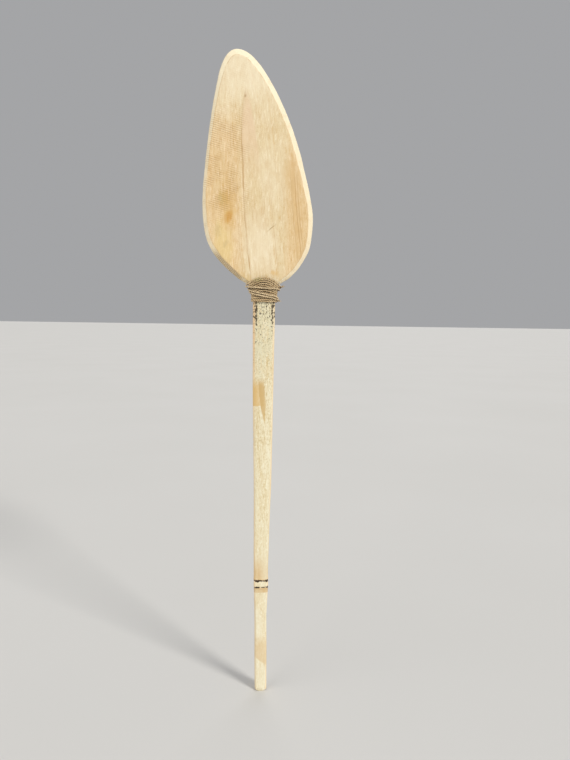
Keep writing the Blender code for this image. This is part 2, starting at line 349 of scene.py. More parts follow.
def blade_look():
    """Pale sanded board: nested growth rings that close in an arch near the tip, stains, planer marks."""
    look = Look("carved_board")
    below = look.math("SUBTRACT", 749.0, look.z)
    lean = look.times(below, 0.0875)
    wobble = look.noise((0.004, 0.02, 0.014), 2.0, seed=3.0)
    across = look.math("SUBTRACT", look.add(look.x, 23.9), lean)
    across = look.add(across, look.times(look.math("SUBTRACT", wobble, 0.5), 7.0))
    depth = look.add(look.y, 12.5)
    closing = look.math("EXPONENT", look.times(look.math("MAXIMUM", below, 0.0), -1 / 60))
    level = look.add(look.times(look.math("SUBTRACT", 1.0, closing), 60.0), look.math("MINIMUM", below, 0.0))
    radius = look.math("SQRT", look.add(look.times(across, across), look.times(depth, depth)))
    ring = look.math("SUBTRACT", look.math("SUBTRACT", radius, 10.0), look.times(level, 0.105))

    bands = look.noise((0.30, 0, 0), 3.0, 0.6, place=look.vector(ring, 0.0, 0.0), seed=1.7)
    fibre_place = look.vector(ring, look.y, look.z)
    fibres = look.noise((1.1, 0.8, 0.012), 4.0, 0.65, place=fibre_place)
    fine = look.noise((3.6, 2.0, 0.05), 2.0, 0.6, place=fibre_place, seed=5.0)
    patches = look.noise((0.03, 0.03, 0.011), 3.0, 0.55, seed=11.0)
    mottle = look.noise((0.16, 0.16, 0.09), 3.0, 0.6, seed=7.0)

    colour = look.mix(look.ramp(patches, 0.32, 0.70), (0.745, 0.61, 0.37), (0.81, 0.69, 0.47))
    colour = look.mix(look.ramp(bands, 0.46, 0.70, 0.0, 0.62), colour, (0.72, 0.525, 0.265))
    colour = look.mix(look.ramp(fibres, 0.52, 0.74, 0.0, 0.60), colour, (0.67, 0.465, 0.22))
    colour = look.mix(look.ramp(fibres, 0.48, 0.27, 0.0, 0.55), colour, (0.95, 0.84, 0.62))
    colour = look.tint(colour, look.ramp(fine, 0.52, 0.74, 0.0, 0.75), (0.84, 0.77, 0.66))
    colour = look.tint(colour, look.ramp(mottle, 0.52, 0.74, 0.0, 0.60), (0.92, 0.86, 0.76))
    flecks = look.noise((0.55, 0.55, 0.11), 3.0, 0.7, seed=15.0)
    colour = look.tint(colour, look.ramp(flecks, 0.53, 0.68, 0.0, 0.70), (0.89, 0.79, 0.64))
    colour = look.mix(look.ramp(flecks, 0.47, 0.32, 0.0, 0.55), colour, (0.94, 0.85, 0.66))
    pores = look.noise((1.3, 1.3, 0.6), 2.0, 0.6, seed=16.0)
    colour = look.tint(colour, look.ramp(pores, 0.56, 0.70, 0.0, 0.55), (0.80, 0.68, 0.52))

    # Paler towards the tip and low in the middle, more golden at both sides.
    on_front = look.ramp(look.y, 0.5, -0.8)
    bleached = look.ramp(look.z, 715.0, 775.0, 0.0, 0.50)
    bleached = look.add(bleached, look.times(look.spot((-8.0, 575.0), (22.0, 52.0), 0.5, 0.05), 0.42))
    upper_patch = look.spot((8.0, 660.0), (20.0, 50.0), 0.5, 0.05, -0.2, 3.0)
    bleached = look.add(bleached, look.times(upper_patch, 0.25))
    colour = look.mix(bleached, colour, (0.915, 0.83, 0.64))
    golden = look.times(look.ramp(look.x, -18.0, -38.0), look.ramp(look.z, 745.0, 690.0))
    golden = look.add(golden, look.times(look.ramp(look.x, 20.0, 34.0), look.ramp(look.z, 715.0, 670.0)))
    colour = look.tint(colour, look.times(golden, look.times(on_front, 0.85)), (1.0, 0.90, 0.80))
    inside = look.times(look.ramp(ring, 0.6, -1.6), look.ramp(look.z, 640.0, 720.0, 0.05, 0.72))
    colour = look.mix(inside, colour, (0.78, 0.59, 0.40))
    line = look.bell(ring, look.times(look.math("SUBTRACT", mottle, 0.5), 0.9), 0.55)
    broken = look.ramp(look.noise((0.01, 0.01, 0.03), 2.0, seed=21.0), 0.36, 0.60, 0.45, 1.0)
    left_flank = look.ramp(across, 4.0, -3.0, 0.12, 1.0)
    line = look.times(look.times(line, broken), look.ramp(look.z, 735.0, 690.0, 0.35, 0.95))
    colour = look.mix(look.times(line, look.times(left_flank, 0.95)), colour, (0.50, 0.29, 0.12))
    second = look.times(look.bell(ring, 7.6, 0.6), look.ramp(look.z, 690.0, 600.0, 0.0, 0.4))
    colour = look.mix(second, colour, (0.60, 0.40, 0.19))
    right_lines = look.add(look.bell(ring, 36.3, 0.55), look.times(look.bell(ring, 39.2, 0.5), 0.7))
    right_lines = look.add(right_lines, look.times(look.bell(ring, 31.8, 0.6), 0.5))
    right_zone = look.times(look.bell(ring, 35.0, 7.5), look.ramp(look.z, 705.0, 640.0))
    right_side = look.ramp(look.x, 10.0, 18.0)
    colour = look.mix(look.times(look.times(right_zone, right_side), 0.42), colour, (0.66, 0.45, 0.20))
    right_lines = look.times(look.times(right_lines, right_side), look.ramp(look.z, 690.0, 640.0, 0.0, 0.85))
    colour = look.mix(look.times(right_lines, broken), colour, (0.53, 0.32, 0.13))

    greenish = look.times(look.spot((-50.0, 574.0), (15.0, 34.0), 0.5, 0.12, -0.1, 2.0), on_front)
    colour = look.mix(look.times(greenish, 0.55), colour, (0.78, 0.60, 0.25))
    orange = look.times(look.spot((-44.5, 614.0), (12.0, 26.0), 0.75, 0.20, 0.0, 4.0), 0.58)
    orange = look.add(orange, look.times(look.spot((-43.8, 606.0), (5.5, 10.5), 0.85, 0.30, 0.2), 0.42))
    orange = look.add(orange, look.times(look.spot((-46.5, 640.0), (9.0, 24.0), 0.9, 0.15, 0.1, 8.0), 0.22))
    orange = look.times(orange, look.ramp(fibres, 0.35, 0.62, 0.65, 1.1))
    core = look.times(look.spot((-43.8, 606.0), (4.8, 9.0), 0.8, 0.4, 0.25, 5.0), 0.60)
    olive = look.times(look.spot((-51.0, 628.0), (7.0, 11.0), 0.9, 0.30, -0.3, 17.0), 0.45)
    colour = look.mix(look.times(olive, on_front), colour, (0.52, 0.38, 0.12))
    colour = look.mix(look.times(orange, on_front), colour, (0.66, 0.40, 0.105))
    colour = look.mix(look.times(core, on_front), colour, (0.60, 0.30, 0.07))
    small = look.times(look.spot((-3.6, 614.0), (5.0, 6.5), 0.7, 0.3, 0.0, 6.0), 0.38)
    colour = look.mix(look.times(small, on_front), colour, (0.62, 0.42, 0.20))
    brownish = look.times(look.spot((30.0, 655.0), (15.0, 26.0), 0.8, 0.12, -0.25, 9.0), 0.34)
    colour = look.mix(look.times(brownish, on_front), colour, (0.66, 0.455, 0.22))
    knot = look.times(look.spot((-24.6, 746.0), (1.6, 2.2), 0.5, 0.6), 0.55)
    fleck = look.times(look.spot((-22.0, 789.5), (1.6, 0.9), 0.6, 0.8, 1.5), 0.7)
    colour = look.mix(look.times(look.add(knot, fleck), on_front), colour, (0.34, 0.20, 0.09))
    grubby = look.times(look.spot((-57.0, 590.0), (6.0, 10.0), 1.0, 0.5, 0.0, 13.0), 0.30)
    grubby = look.add(grubby, look.times(look.spot((-47.5, 574.0), (3.0, 6.0), 1.0, 0.6, 0.3, 19.0), 0.35))
    colour = look.mix(look.times(grubby, on_front), colour, (0.50, 0.37, 0.17))

    # Scratch across the lower half.
    scratch_height = look.add(591.0, look.times(look.math("SUBTRACT", look.x, 4.0), 0.85))
    off_scratch = look.math("SUBTRACT", look.z, scratch_height)
    scratch = look.times(look.bell(off_scratch, 0.0, 0.65), look.bell(look.x, 8.2, 3.9))
    scratch = look.times(scratch, on_front)
    colour = look.mix(look.times(scratch, 0.85), colour, (0.40, 0.26, 0.11))

    # Painted highlight: the bevels are coloured paler than the face, as where light catches them, and a
    # painted shade line runs along the front arris.
    front_bevel = look.ramp(look.y, BLADE_FRONT + 0.18, BLADE_FRONT + 0.50)
    back_bevel = look.ramp(look.y, BLADE_BACK - 0.18, BLADE_BACK - 0.50)
    bevel = look.times(front_bevel, back_bevel)
    colour = look.mix(look.times(bevel, 0.68), colour, (0.95, 0.855, 0.64))
    arris = look.times(look.bell(look.y, BLADE_FRONT + 0.22, 0.18), look.ramp(mottle, 0.40, 0.60, 0.15, 0.6))
    colour = look.mix(arris, colour, (0.60, 0.42, 0.22))
    # Painted shade on the lower left bevel, which faces down and away from the light.
    low_left = look.times(look.ramp(look.x, -22.0, -32.0), look.ramp(look.z, 572.0, 556.0))
    colour = look.tint(colour, look.times(look.times(low_left, bevel), 0.85), (0.66, 0.60, 0.52))
    # Darker brown patches scattered over the bevels.
    edge = look.ramp(look.noise((0.12, 0.12, 0.12), 3.0, seed=31.0), 0.52, 0.72, 0.0, 0.35)
    colour = look.mix(look.times(bevel, edge), colour, (0.74, 0.56, 0.34))

    # Dust and twine stain where the lashing starts.
    collar = look.times(look.ramp(look.z, 543.0, 532.0), look.ramp(mottle, 0.40, 0.62, 0.05, 0.50))
    colour = look.mix(collar, colour, (0.64, 0.46, 0.19))
    rubbed = look.times(look.spot((12.0, 541.0), (6.0, 5.0), 0.9, 0.3, 0.0, 27.0), 0.55)
    colour = look.mix(look.times(rubbed, on_front), colour, (0.70, 0.44, 0.15))

    # Planer marks: fine slanting steps, strongest on the left half.
    slanted = look.add(look.z, look.times(look.x, 0.28))
    steps = look.math("SINE", look.times(slanted, math.tau / 2.5))
    uneven = look.ramp(look.noise((0.06, 0.06, 0.05), 2.0, seed=41.0), 0.35, 0.62)
    where = look.times(look.ramp(look.x, -8.0, -36.0, 0.06, 1.0), look.ramp(look.z, 588.0, 612.0, 0.1, 1.0))
    where = look.times(look.times(where, look.ramp(look.z, 742.0, 705.0, 0.15, 1.0)), on_front)
    planer = look.times(look.times(steps, uneven), where)
    colour = look.tint(colour, look.times(look.ramp(planer, -0.1, 0.8), 0.70), (0.82, 0.72, 0.59))
    # Rasp marks across the shaded lower left bevel.
    filed = look.add(look.add(look.z, look.times(look.x, -1.1)), look.times(flecks, 5.0))
    rasp = look.math("SINE", look.times(filed, math.tau / 3.2))
    rasp = look.times(look.times(rasp, low_left), bevel)
    colour = look.tint(colour, look.times(look.ramp(rasp, 0.0, 0.9), 0.6), (0.62, 0.54, 0.44))

    normal = look.bump(planer, 0.16)
    normal = look.bump(rasp, 0.16, normal)
    normal = look.bump(fibres, 0.16, normal)
    normal = look.bump(flecks, 0.12, normal)
    normal = look.bump(fine, 0.06, normal)
    normal = look.bump(look.math("SUBTRACT", 1.0, scratch), 0.25, normal)
    normal = look.bump(look.noise((0.9, 0.9, 0.5), 3.0, 0.6, seed=51.0), 0.06, normal)
    roughness = look.ramp(look.add(look.times(fibres, 0.6), look.times(mottle, 0.4)), 0.3, 0.7, 0.50, 0.72)
    return look.finish(colour, roughness, normal, 0.32)


def bamboo_look():
    """Split bamboo: waxy skin in front, shaved edges, and a planed fibrous back."""
    look = Look("split_bamboo")
    streaks = look.noise((2.4, 2.4, 0.018), 4.0, 0.6)
    fine = look.noise((7.0, 7.0, 0.08), 2.0, 0.6, seed=3.0)
    clouds = look.noise((0.16, 0.16, 0.022), 4.0, 0.6, seed=5.0)
    mottle = look.noise((0.55, 0.55, 0.30), 3.0, 0.7, seed=9.0)

    colour = look.mix(look.ramp(clouds, 0.35, 0.65), (0.755, 0.65, 0.42), (0.835, 0.765, 0.565))
    colour = look.mix(look.ramp(streaks, 0.52, 0.74, 0.0, 0.50), colour, (0.74, 0.585, 0.32))
    colour = look.tint(colour, look.ramp(fine, 0.52, 0.74, 0.0, 0.55), (0.84, 0.79, 0.68))
    weathered = look.ramp(look.z, 150.0, 420.0, 0.35, 1.0)
    colour = look.tint(colour, look.times(look.ramp(mottle, 0.52, 0.66), weathered), (0.80, 0.73, 0.58))
    grain = look.noise((0.9, 0.9, 0.07), 3.0, 0.65, seed=29.0)
    colour = look.tint(colour, look.ramp(grain, 0.52, 0.68, 0.0, 0.8), (0.86, 0.80, 0.66))
    colour = look.mix(look.ramp(grain, 0.47, 0.34, 0.0, 0.5), colour, (0.90, 0.86, 0.69))
    colour = look.mix(look.ramp(mottle, 0.47, 0.33, 0.0, 0.70), colour, (0.90, 0.87, 0.71))
    colour = look.mix(look.ramp(look.z, 220.0, 90.0, 0.0, 0.20), colour, (0.93, 0.87, 0.68))
    greenish = look.times(look.ramp(look.z, 380.0, 460.0, 0.10, 0.60), look.ramp(clouds, 0.38, 0.60))
    colour = look.mix(greenish, colour, (0.66, 0.62, 0.42))

    # The skin ends at the shaved edges, which are warmer and paler wood.
    half = look.ramp(look.z, 0.0, 420.0, 7.6, 13.1)
    half = look.add(half, look.times(look.math("SUBTRACT", look.noise((0.02, 0.02, 0.05), 2.0), 0.5), 1.6))
    from_middle = look.math("ABSOLUTE", look.math("SUBTRACT", look.x, 0.2))
    skin_half = look.times(half, 0.83)
    on_front = look.ramp(look.y, -1.2, -2.0)
    shaved = look.ramp(look.math("SUBTRACT", from_middle, skin_half), -0.25, 0.35)
    edge_wood = look.mix(look.ramp(streaks, 0.35, 0.65), (0.90, 0.75, 0.52), (0.80, 0.59, 0.34))
    colour = look.mix(look.times(shaved, 0.75), colour, edge_wood)
    left_edge = look.times(look.ramp(look.x, -0.5, -1.5), look.ramp(look.z, 380.0, 470.0))
    colour = look.mix(look.times(look.times(shaved, left_edge), 0.6), colour, (0.80, 0.52, 0.27))
    back = look.ramp(look.y, HANDLE_BACK - 1.6, HANDLE_BACK - 0.4)
    inner = look.mix(look.ramp(streaks, 0.35, 0.68), (0.80, 0.625, 0.375), (0.58, 0.395, 0.20))
    colour = look.mix(back, colour, inner)

    # Brown tints either side of the node and near the foot.
    above = look.times(look.ramp(look.z, 192.0, 158.0), look.ramp(look.z, 149.5, 151.0))
    above = look.times(above, look.ramp(look.x, 4.5, -3.5, 0.45, 1.0))
    slant = look.math("SUBTRACT", look.z, look.times(look.x, -0.8))
    foot = look.times(look.ramp(slant, 40.0, 42.5), look.ramp(look.z, 84.0, 58.0))
    under = look.times(look.ramp(look.z, 133.8, 135.2), look.ramp(look.z, 142.0, 140.0))
    brown = look.math("MAXIMUM", look.times(foot, 0.65), under)
    brown = look.math("MAXIMUM", look.times(above, 0.95), brown)
    brown = look.times(brown, look.ramp(clouds, 0.30, 0.60, 0.45, 0.85))
    colour = look.mix(look.times(brown, on_front), colour, (0.66, 0.455, 0.22))

    # The node: two dark broken rings.
    ragged = look.noise((0.16, 0.2, 0.10), 3.0, 0.7, seed=13.0)
    shifted = look.add(look.z, look.times(look.math("SUBTRACT", ragged, 0.5), 5.0))
    thickness = look.ramp(look.noise((0.20, 0.3, 0.05), 2.0, seed=19.0), 0.38, 0.60, 0.45, 1.55)
    upper = look.bell(shifted, UPPER_RING, thickness)
    lower = look.bell(shifted, LOWER_RING + 0.1, thickness)
    gaps = look.ramp(look.noise((0.24, 0.2, 0.1), 2.0, seed=17.0), 0.38, 0.46, 0.10, 1.0)
    rings = look.times(look.math("MAXIMUM", upper, lower), gaps)
    halo = look.math("MAXIMUM", look.bell(shifted, 151.2, 1.8), look.bell(shifted, 140.2, 2.0))
    colour = look.mix(look.times(look.times(halo, 0.40), on_front), colour, (0.55, 0.37, 0.16))
    round_front = look.ramp(look.y, 2.0, 0.0)
    colour = look.mix(look.times(look.ramp(rings, 0.15, 0.55), round_front), colour, (0.045, 0.022, 0.010))

    # A tear-shaped stain, with a paler patch on its left that ends square.
    wavy = look.times(look.math("SUBTRACT", look.noise((0.2, 0.2, 0.07), 3.0, 0.6, seed=23.0), 0.5), 2.4)
    axis = look.add(look.times(look.math("SUBTRACT", 412.0, look.z), 0.092), -3.2)
    off_axis = look.math("SUBTRACT", look.add(look.x, wavy), axis)
    half_tear = look.ramp(look.z, 350.0, 384.0, 0.0, 3.7)
    tear = look.ramp(look.math("SUBTRACT", look.math("ABSOLUTE", off_axis), half_tear), 0.5, -0.7)
    tear = look.times(tear, look.times(look.ramp(look.z, 413.0, 402.0), look.ramp(look.z, 351.0, 355.0)))
    tear = look.times(tear, look.ramp(clouds, 0.30, 0.60, 0.70, 1.0))
    patch = look.times(look.ramp(off_axis, 1.5, 0.0), look.ramp(look.add(look.z, wavy), 376.2, 377.6))
    patch = look.times(patch, look.ramp(look.z, 414.0, 398.0))
    patch = look.times(patch, look.ramp(look.x, 0.0, -11.0, 0.45, 0.85))
    colour = look.mix(look.times(patch, on_front), colour, (0.70, 0.46, 0.17))
    colour = look.mix(look.times(look.times(tear, 0.85), on_front), colour, (0.60, 0.405, 0.16))

    # Specks of mould, dense under the lashing and along both edges of the skin.
    nearby = look.ramp(look.z, 446.0, 494.0, 0.0, 1.0)
    sides = look.bell(look.math("SUBTRACT", from_middle, skin_half), -0.9, 1.5)
    upwards = look.ramp(look.z, 462.0, 500.0, 0.25, 0.62)
    density = look.times(nearby, look.add(look.times(sides, 0.95), upwards))
    scatter = look.noise((0.22, 0.22, 0.14), 2.0, 0.55, seed=33.0)
    blot = look.noise((0.50, 0.50, 0.42), 2.0, 0.65, seed=37.0)
    speck = look.add(look.times(blot, 0.70), look.times(scatter, 0.30))
    speck = look.add(speck, look.times(density, 0.125))
    specks = look.times(look.ramp(speck, 0.610, 0.650), look.times(on_front, look.ramp(nearby, 0.0, 0.15)))
    colour = look.mix(look.times(specks, 0.95), colour, (0.060, 0.040, 0.020))
    dots = look.noise((0.8, 0.8, 0.6), 3.0, 0.6, seed=39.0)
    faint = look.times(look.ramp(look.z, 385.0, 435.0), look.ramp(dots, 0.58, 0.66))
    colour = look.mix(look.times(look.times(faint, 0.75), on_front), colour, (0.32, 0.27, 0.15))

    # Painted shade under the lashing: the bamboo is darkened from where the twine starts, so the gaps
    # between the turns read dark.
    painted_shade_under_lashing = look.times(look.ramp(look.z, LASHING_FOOT, LASHING_FOOT + 2.0), 0.85)
    colour = look.mix(painted_shade_under_lashing, colour, (0.20, 0.135, 0.070))

    # Grime on the foot and rubbed edges.
    grime = look.times(look.ramp(look.z, 5.0, 0.3), look.ramp(mottle, 0.3, 0.7, 0.1, 0.6))
    colour = look.mix(grime, colour, (0.36, 0.27, 0.16))

    normal = look.bump(streaks, 0.10)
    normal = look.bump(fine, 0.04, normal)
    deep = look.times(look.math("MAXIMUM", back, shaved), look.noise((4.5, 4.5, 0.05), 3.0, 0.6, seed=43.0))
    normal = look.bump(deep, 0.22, normal)
    normal = look.bump(look.math("SUBTRACT", 1.0, rings), 0.30, normal)
    normal = look.bump(look.math("SUBTRACT", 1.0, specks), 0.05, normal)
    waxy = look.ramp(mottle, 0.35, 0.70, 0.34, 0.50)
    rough = look.math("MAXIMUM", look.times(look.math("MAXIMUM", shaved, back), 0.68), waxy)
    rough = look.math("MAXIMUM", rough, look.times(rings, 0.8))
    return look.finish(colour, rough, normal, 0.42)


def twine_look(name, paler):
    """Jute: coarse fibres that run along each ply, in uneven browns, with painted shade where a ply faces
    in.
    """
    look = Look(name)
    strand = look.attribute("strand")
    facing = look.attribute("open", "Fac")
    fibres = look.noise((2.6, 2.6, 0.30), 4.0, 0.65, place=strand)
    threads = look.noise((6.5, 6.5, 0.45), 2.0, 0.6, place=strand, seed=4.0)
    lengths = look.noise((0.0, 0.0, 0.05), 2.0, 0.5, place=strand, seed=8.0)
    blotches = look.noise((0.35, 0.35, 0.35), 3.0, 0.6, seed=12.0)
    colour = look.mix(look.ramp(lengths, 0.35, 0.65), (0.54, 0.385, 0.20), (0.83, 0.64, 0.385))
    colour = look.mix(look.ramp(fibres, 0.50, 0.70, 0.0, 0.75), colour, (0.97, 0.80, 0.53))
    colour = look.mix(look.ramp(fibres, 0.48, 0.32, 0.0, 0.75), colour, (0.25, 0.16, 0.08))
    colour = look.tint(colour, look.ramp(threads, 0.52, 0.70, 0.0, 0.7), (0.55, 0.47, 0.36))
    colour = look.mix(look.ramp(blotches, 0.55, 0.75, 0.0, 0.4), colour, (0.40, 0.30, 0.17))
    olive = look.spot((-8.5, 532.8), (7.0, 4.2), 0.4, 0.5)
    colour = look.mix(look.times(olive, 0.65), colour, (0.56, 0.48, 0.22))
    # Paler by a share; for the crossed turns on top of the base turns, this is a painted highlight.
    colour = look.mix(paler, colour, (0.90, 0.75, 0.51))
    # Painted shade: darker where a ply faces in, towards the core and into the gaps between plies and turns.
    colour = look.tint(colour, look.ramp(facing, 0.90, 0.42), (0.20, 0.135, 0.08))
    normal = look.bump(fibres, 0.28)
    normal = look.bump(threads, 0.16, normal)
    roughness = look.ramp(fibres, 0.3, 0.7, 0.97, 0.80)
    return look.finish(colour, roughness, normal, 0.15, 0.12)


def peg_look():
    """Split bamboo pin: straight darker fibres, dots of fibre ends on its faces."""
    look = Look("split_bamboo_pin")
    streaks = look.noise((3.0, 0.05, 3.0), 4.0, 0.6)
    dots = look.cells((2.6, 0.2, 2.6))
    mottle = look.noise((0.8, 0.8, 0.8), 3.0, 0.6, seed=5.0)
    colour = look.mix(look.ramp(streaks, 0.35, 0.68), (0.70, 0.53, 0.31), (0.50, 0.34, 0.17))
    colour = look.mix(look.ramp(dots, 0.26, 0.12, 0.0, 0.6), colour, (0.26, 0.16, 0.08))
    colour = look.tint(colour, look.ramp(mottle, 0.5, 0.8, 0.0, 0.5), (0.78, 0.70, 0.60))
    normal = look.bump(streaks, 0.15)
    normal = look.bump(look.math("SUBTRACT", 1.0, dots), 0.05, normal)
    return look.finish(colour, look.ramp(mottle, 0.3, 0.7, 0.55, 0.75), normal, 0.3)


def floor_look():
    """Pale grey seamless floor with the faintest unevenness."""
    look = Look("pale_floor")
    clouds = look.noise((0.0015, 0.0015, 0.0015), 3.0, 0.5)
    grain = look.noise((0.25, 0.25, 0.25), 3.0, 0.6, seed=2.0)
    colour = look.mix(clouds, (0.60, 0.595, 0.58), (0.64, 0.635, 0.625))
    normal = look.bump(grain, 0.04)
    return look.finish(colour, look.ramp(grain, 0.3, 0.7, 0.75, 0.88), normal, 0.2)


# ================================================================ blade


def blade_relief(points, normals):
    """Hand-carved bevels with shallow facets and a wavering arris; the faces are nearly flat."""
    y, z = points[:, 1], points[:, 2]
    from_face = np.minimum(y - BLADE_FRONT, BLADE_BACK - y)
    bevel = smoothstep(from_face, 0.05, 0.6)
    blade_only = smoothstep(z, 530.0, 545.0)
    facets = np.abs(noise_at(points, (0.055, 0.12, 0.055), 3.1)) * 2 - 0.35
    ripples = noise_at(points, (0.22, 0.3, 0.22), 7.7)
    faces = noise_at(points, (0.022, 0.05, 0.016), 11.3)
    fine = noise_at(points, (0.35, 0.3, 0.08), 17.9)
    relief = bevel * (0.26 * facets + 0.07 * ripples) + (1 - bevel) * (0.06 * faces + 0.02 * fine)
    return relief * (0.15 + 0.85 * blade_only)


def blurred(loop, spread):
    """A closed loop of points, each averaged with its neighbours along the loop."""
    reach = int(3 * spread)
    return smoothed(np.vstack((loop[-reach:], loop, loop[:reach])), reach, spread)


def rim_loop(points):
    """The blade's outline seen from the front, as a loop of points about a millimetre apart."""
    middle = np.array(BLADE_MIDDLE)
    flat = points[points[:, 2] > BLADE_FOOT][:, (0, 2)] - middle
    turn = np.arctan2(flat[:, 1], flat[:, 0]) / math.tau + 0.5
    sector = (turn * RIM_SECTORS).astype(int) % RIM_SECTORS
    order = np.lexsort((np.hypot(*flat.T), sector))
    outermost = order[np.append(np.diff(sector[order]) > 0, True)]
    loop = flat[outermost] + middle
    closed = np.vstack((loop, loop[:1]))
    lengths = lengths_along(closed)
    return rows_at(np.arange(0, lengths[-1], 1.0), lengths, closed)


def round_rim(mesh):
    """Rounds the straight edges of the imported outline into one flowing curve, without shrinking it."""
    points = vertex_values(mesh, "co") / MM
    loop = rim_loop(points)
    once = blurred(loop, RIM_SPREAD)
    shift = 2 * once - blurred(once, RIM_SPREAD) - loop
    tree = kdtree.KDTree(len(loop))
    for index, (x, z) in enumerate(loop):
        tree.insert((x, z, 0), index)
    tree.balance()
    for point in points:
        if point[2] < BLADE_FOOT:
            continue
        _, nearest, distance = tree.find((point[0], point[2], 0))
        share = max(0.0, 1 - distance / RIM_DEPTH) * min(1.0, (point[2] - BLADE_FOOT) / RIM_FADE)
        point[0] += shift[nearest][0] * share
        point[2] += shift[nearest][1] * share
    move_vertices(mesh, points)


def make_blade(node):
    mesh = refined(node, "carved_blade", voxel=0.62, smoothing=2)
    round_rim(mesh)
    carve(mesh, blade_relief)
    mesh.materials.append(blade_look())
    add_piece("carved_blade", mesh, ["blade"])


# ================================================================ handle


def handle_relief(points, normals):
    """Rings of the node, long facets where the edges were shaved, nicks, and torn fibres behind."""
    x, z = points[:, 0], points[:, 2]
    front = smoothstep(-normals[:, 1], 0.75, 0.95)
    back = smoothstep(normals[:, 1], 0.6, 0.95)
    edges = (1 - front) * (1 - back)
    below_lap = smoothstep(-z, -503.0, -498.0)
    wander = 0.7 * noise_at(points, (0.25, 0.2, 0.0), 5.5)
    broken = smoothstep(noise_at(points, (0.35, 0.3, 0.02), 9.1), -0.45, 0.05)
    rings = 0.42 * bell(z + wander, UPPER_RING, 0.8) + 0.50 * bell(z + wander, LOWER_RING, 0.9)
    lips = 0.30 * bell(z + wander, 151.8, 0.9) + 0.34 * bell(z + wander, 143.0, 0.9)
    node = (lips - rings * (0.4 + 0.6 * broken)) * (1 - 0.75 * back)
    septum = 0.55 * back * bell(z, 146.0, 1.8) - 0.35 * back * bell(z, 150.5, 2.2)
    skin = 0.07 * front * noise_at(points, (0.11, 0.1, 0.02), 1.4)
    shaving = edges * 0.24 * noise_at(points, (0.16, 0.30, 0.020), 13.6)
    shaving += edges * 0.10 * noise_at(points, (0.5, 0.8, 0.035), 15.2)
    coarse_fibres = 0.16 * noise_at(points, (0.55, 0.1, 0.012), 21.0)
    fine_fibres = 0.08 * noise_at(points, (1.2, 0.3, 0.03), 2.2)
    fibres = back * (coarse_fibres + fine_fibres)
    nicks = sum(bell(z, height, 0.8) for height in NICK_HEIGHTS) * smoothstep(-x, 9.5, 11.5)
    foot = smoothstep(-z, -6.0, 0.0) * 0.2 * noise_at(points, (0.4, 0.4, 0.4), 6.0)
    return (node + septum + skin + shaving + fibres - 0.5 * nicks) * below_lap + foot


def make_handle(node):
    mesh = refined(node, "split_bamboo_handle", voxel=0.55, smoothing=3)
    carve(mesh, handle_relief)
    mesh.materials.append(bamboo_look())
    add_piece("split_bamboo_handle", mesh, ["bamboo_handle"])


# ================================================================ twine


def core_edges(height):
    heights, lefts, rights = np.array(CORE_STATIONS).T
    return np.interp(height, heights, lefts), np.interp(height, heights, rights)


def half_turn(half_x, half_y, radius, side):
    """Half a turn round a rounded rectangle: side 1 goes left in front, side -1 comes back behind.

    Each stop is (x, y, and the x and y of the direction outwards).
    """
    corner_x, corner_y = half_x - radius, half_y - radius
    arc = [(math.cos(math.radians(a)), math.sin(math.radians(a))) for a in range(0, 91, 15)]
    stops = [(half_x, 0, 1, 0)]
    stops += [(corner_x + radius * c, corner_y + radius * s, c, s) for c, s in arc]
    stops += [(corner_x * share, half_y, 0, 1) for share in np.linspace(0.85, -0.85, 11)]
    stops += [(-corner_x - radius * c, corner_y + radius * s, -c, s) for c, s in reversed(arc)]
    return [(x * side, -y * side, out_x * side, -out_y * side) for x, y, out_x, out_y in stops]


def arch(height, across):
    """How much higher a turn of the first layer runs in front than at the sides."""
    return ARCH_RISE * smoothstep(height, ARCH_START, ARCH_END) * (1 - min(abs(across), 1) ** 2)


def winding_route(side_heights, layer):
    """Centre line and outward directions of a length of twine that passes the sides at these heights."""
    offset = TWINE_RADIUS + CORE_CLEARANCE + layer * LAYER_RISE
    clear_of_flare = (layer + 1) * TWINE_RADIUS
    middle_y = (HANDLE_FRONT + TANG_BACK) / 2
    half_y = (TANG_BACK - HANDLE_FRONT) / 2 + offset
    points, outwards = [], []
    for index, (start, end) in enumerate(zip(side_heights, side_heights[1:])):
        side = -1 if index % 2 else 1
        count = len(half_turn(1, 1, 0, side))
        for stop in range(count):
            height = start + (end - start) * stop / count
            left, right = core_edges(height + clear_of_flare)
            half_x = (right - left) / 2 + offset
            corner = CORE_CORNER_RADIUS + offset
            x, y, out_x, out_y = half_turn(half_x, half_y, corner, side)[stop]
            rise = arch(height, x / half_x) if side == 1 and layer == 0 else 0
            fall = FRONT_CROWN * (x / half_x) ** 2 if side == 1 else 0
            points.append(((left + right) / 2 + x, middle_y + y + fall, height + rise))
            outwards.append((out_x, out_y, 0))
    return np.array(points), np.array(outwards, float)


def with_tail(points, outwards, direction, at_start):
    """The route continued at one end by a short free end that droops a little."""
    root = points[0] if at_start else points[-1]
    shares = np.array((0.15, 0.4, 0.7, 1.0))[:, None]
    extra = root + np.array(direction) * shares
    extra[:, 2] -= 1.2 * shares[:, 0] ** 2
    # The free end faces the front, which keeps the jute's painted shade off it.
    out = np.array([(0.0, -1.0, 0.0)] * len(extra))
    if at_start:
        return np.vstack((extra[::-1], points)), np.vstack((out, outwards))
    return np.vstack((points, extra)), np.vstack((outwards, out))


def evened(points, outwards):
    """The route resampled at even steps and rounded off."""
    lengths = lengths_along(points)
    places = np.linspace(0, lengths[-1], int(lengths[-1] / TWINE_STEP))
    rows = rows_at(places, lengths, np.hstack((points, outwards)))
    padded = np.pad(rows, ((ROUTE_REACH, ROUTE_REACH), (0, 0)), mode="edge")
    rows = smoothed(padded, ROUTE_REACH, ROUTE_SPREAD)
    return places, rows[:, :3], rows[:, 3:]


def unit(vectors):
    return vectors / np.linalg.norm(vectors, axis=1)[:, None]


def along(points):
    return unit(np.gradient(points, axis=0))


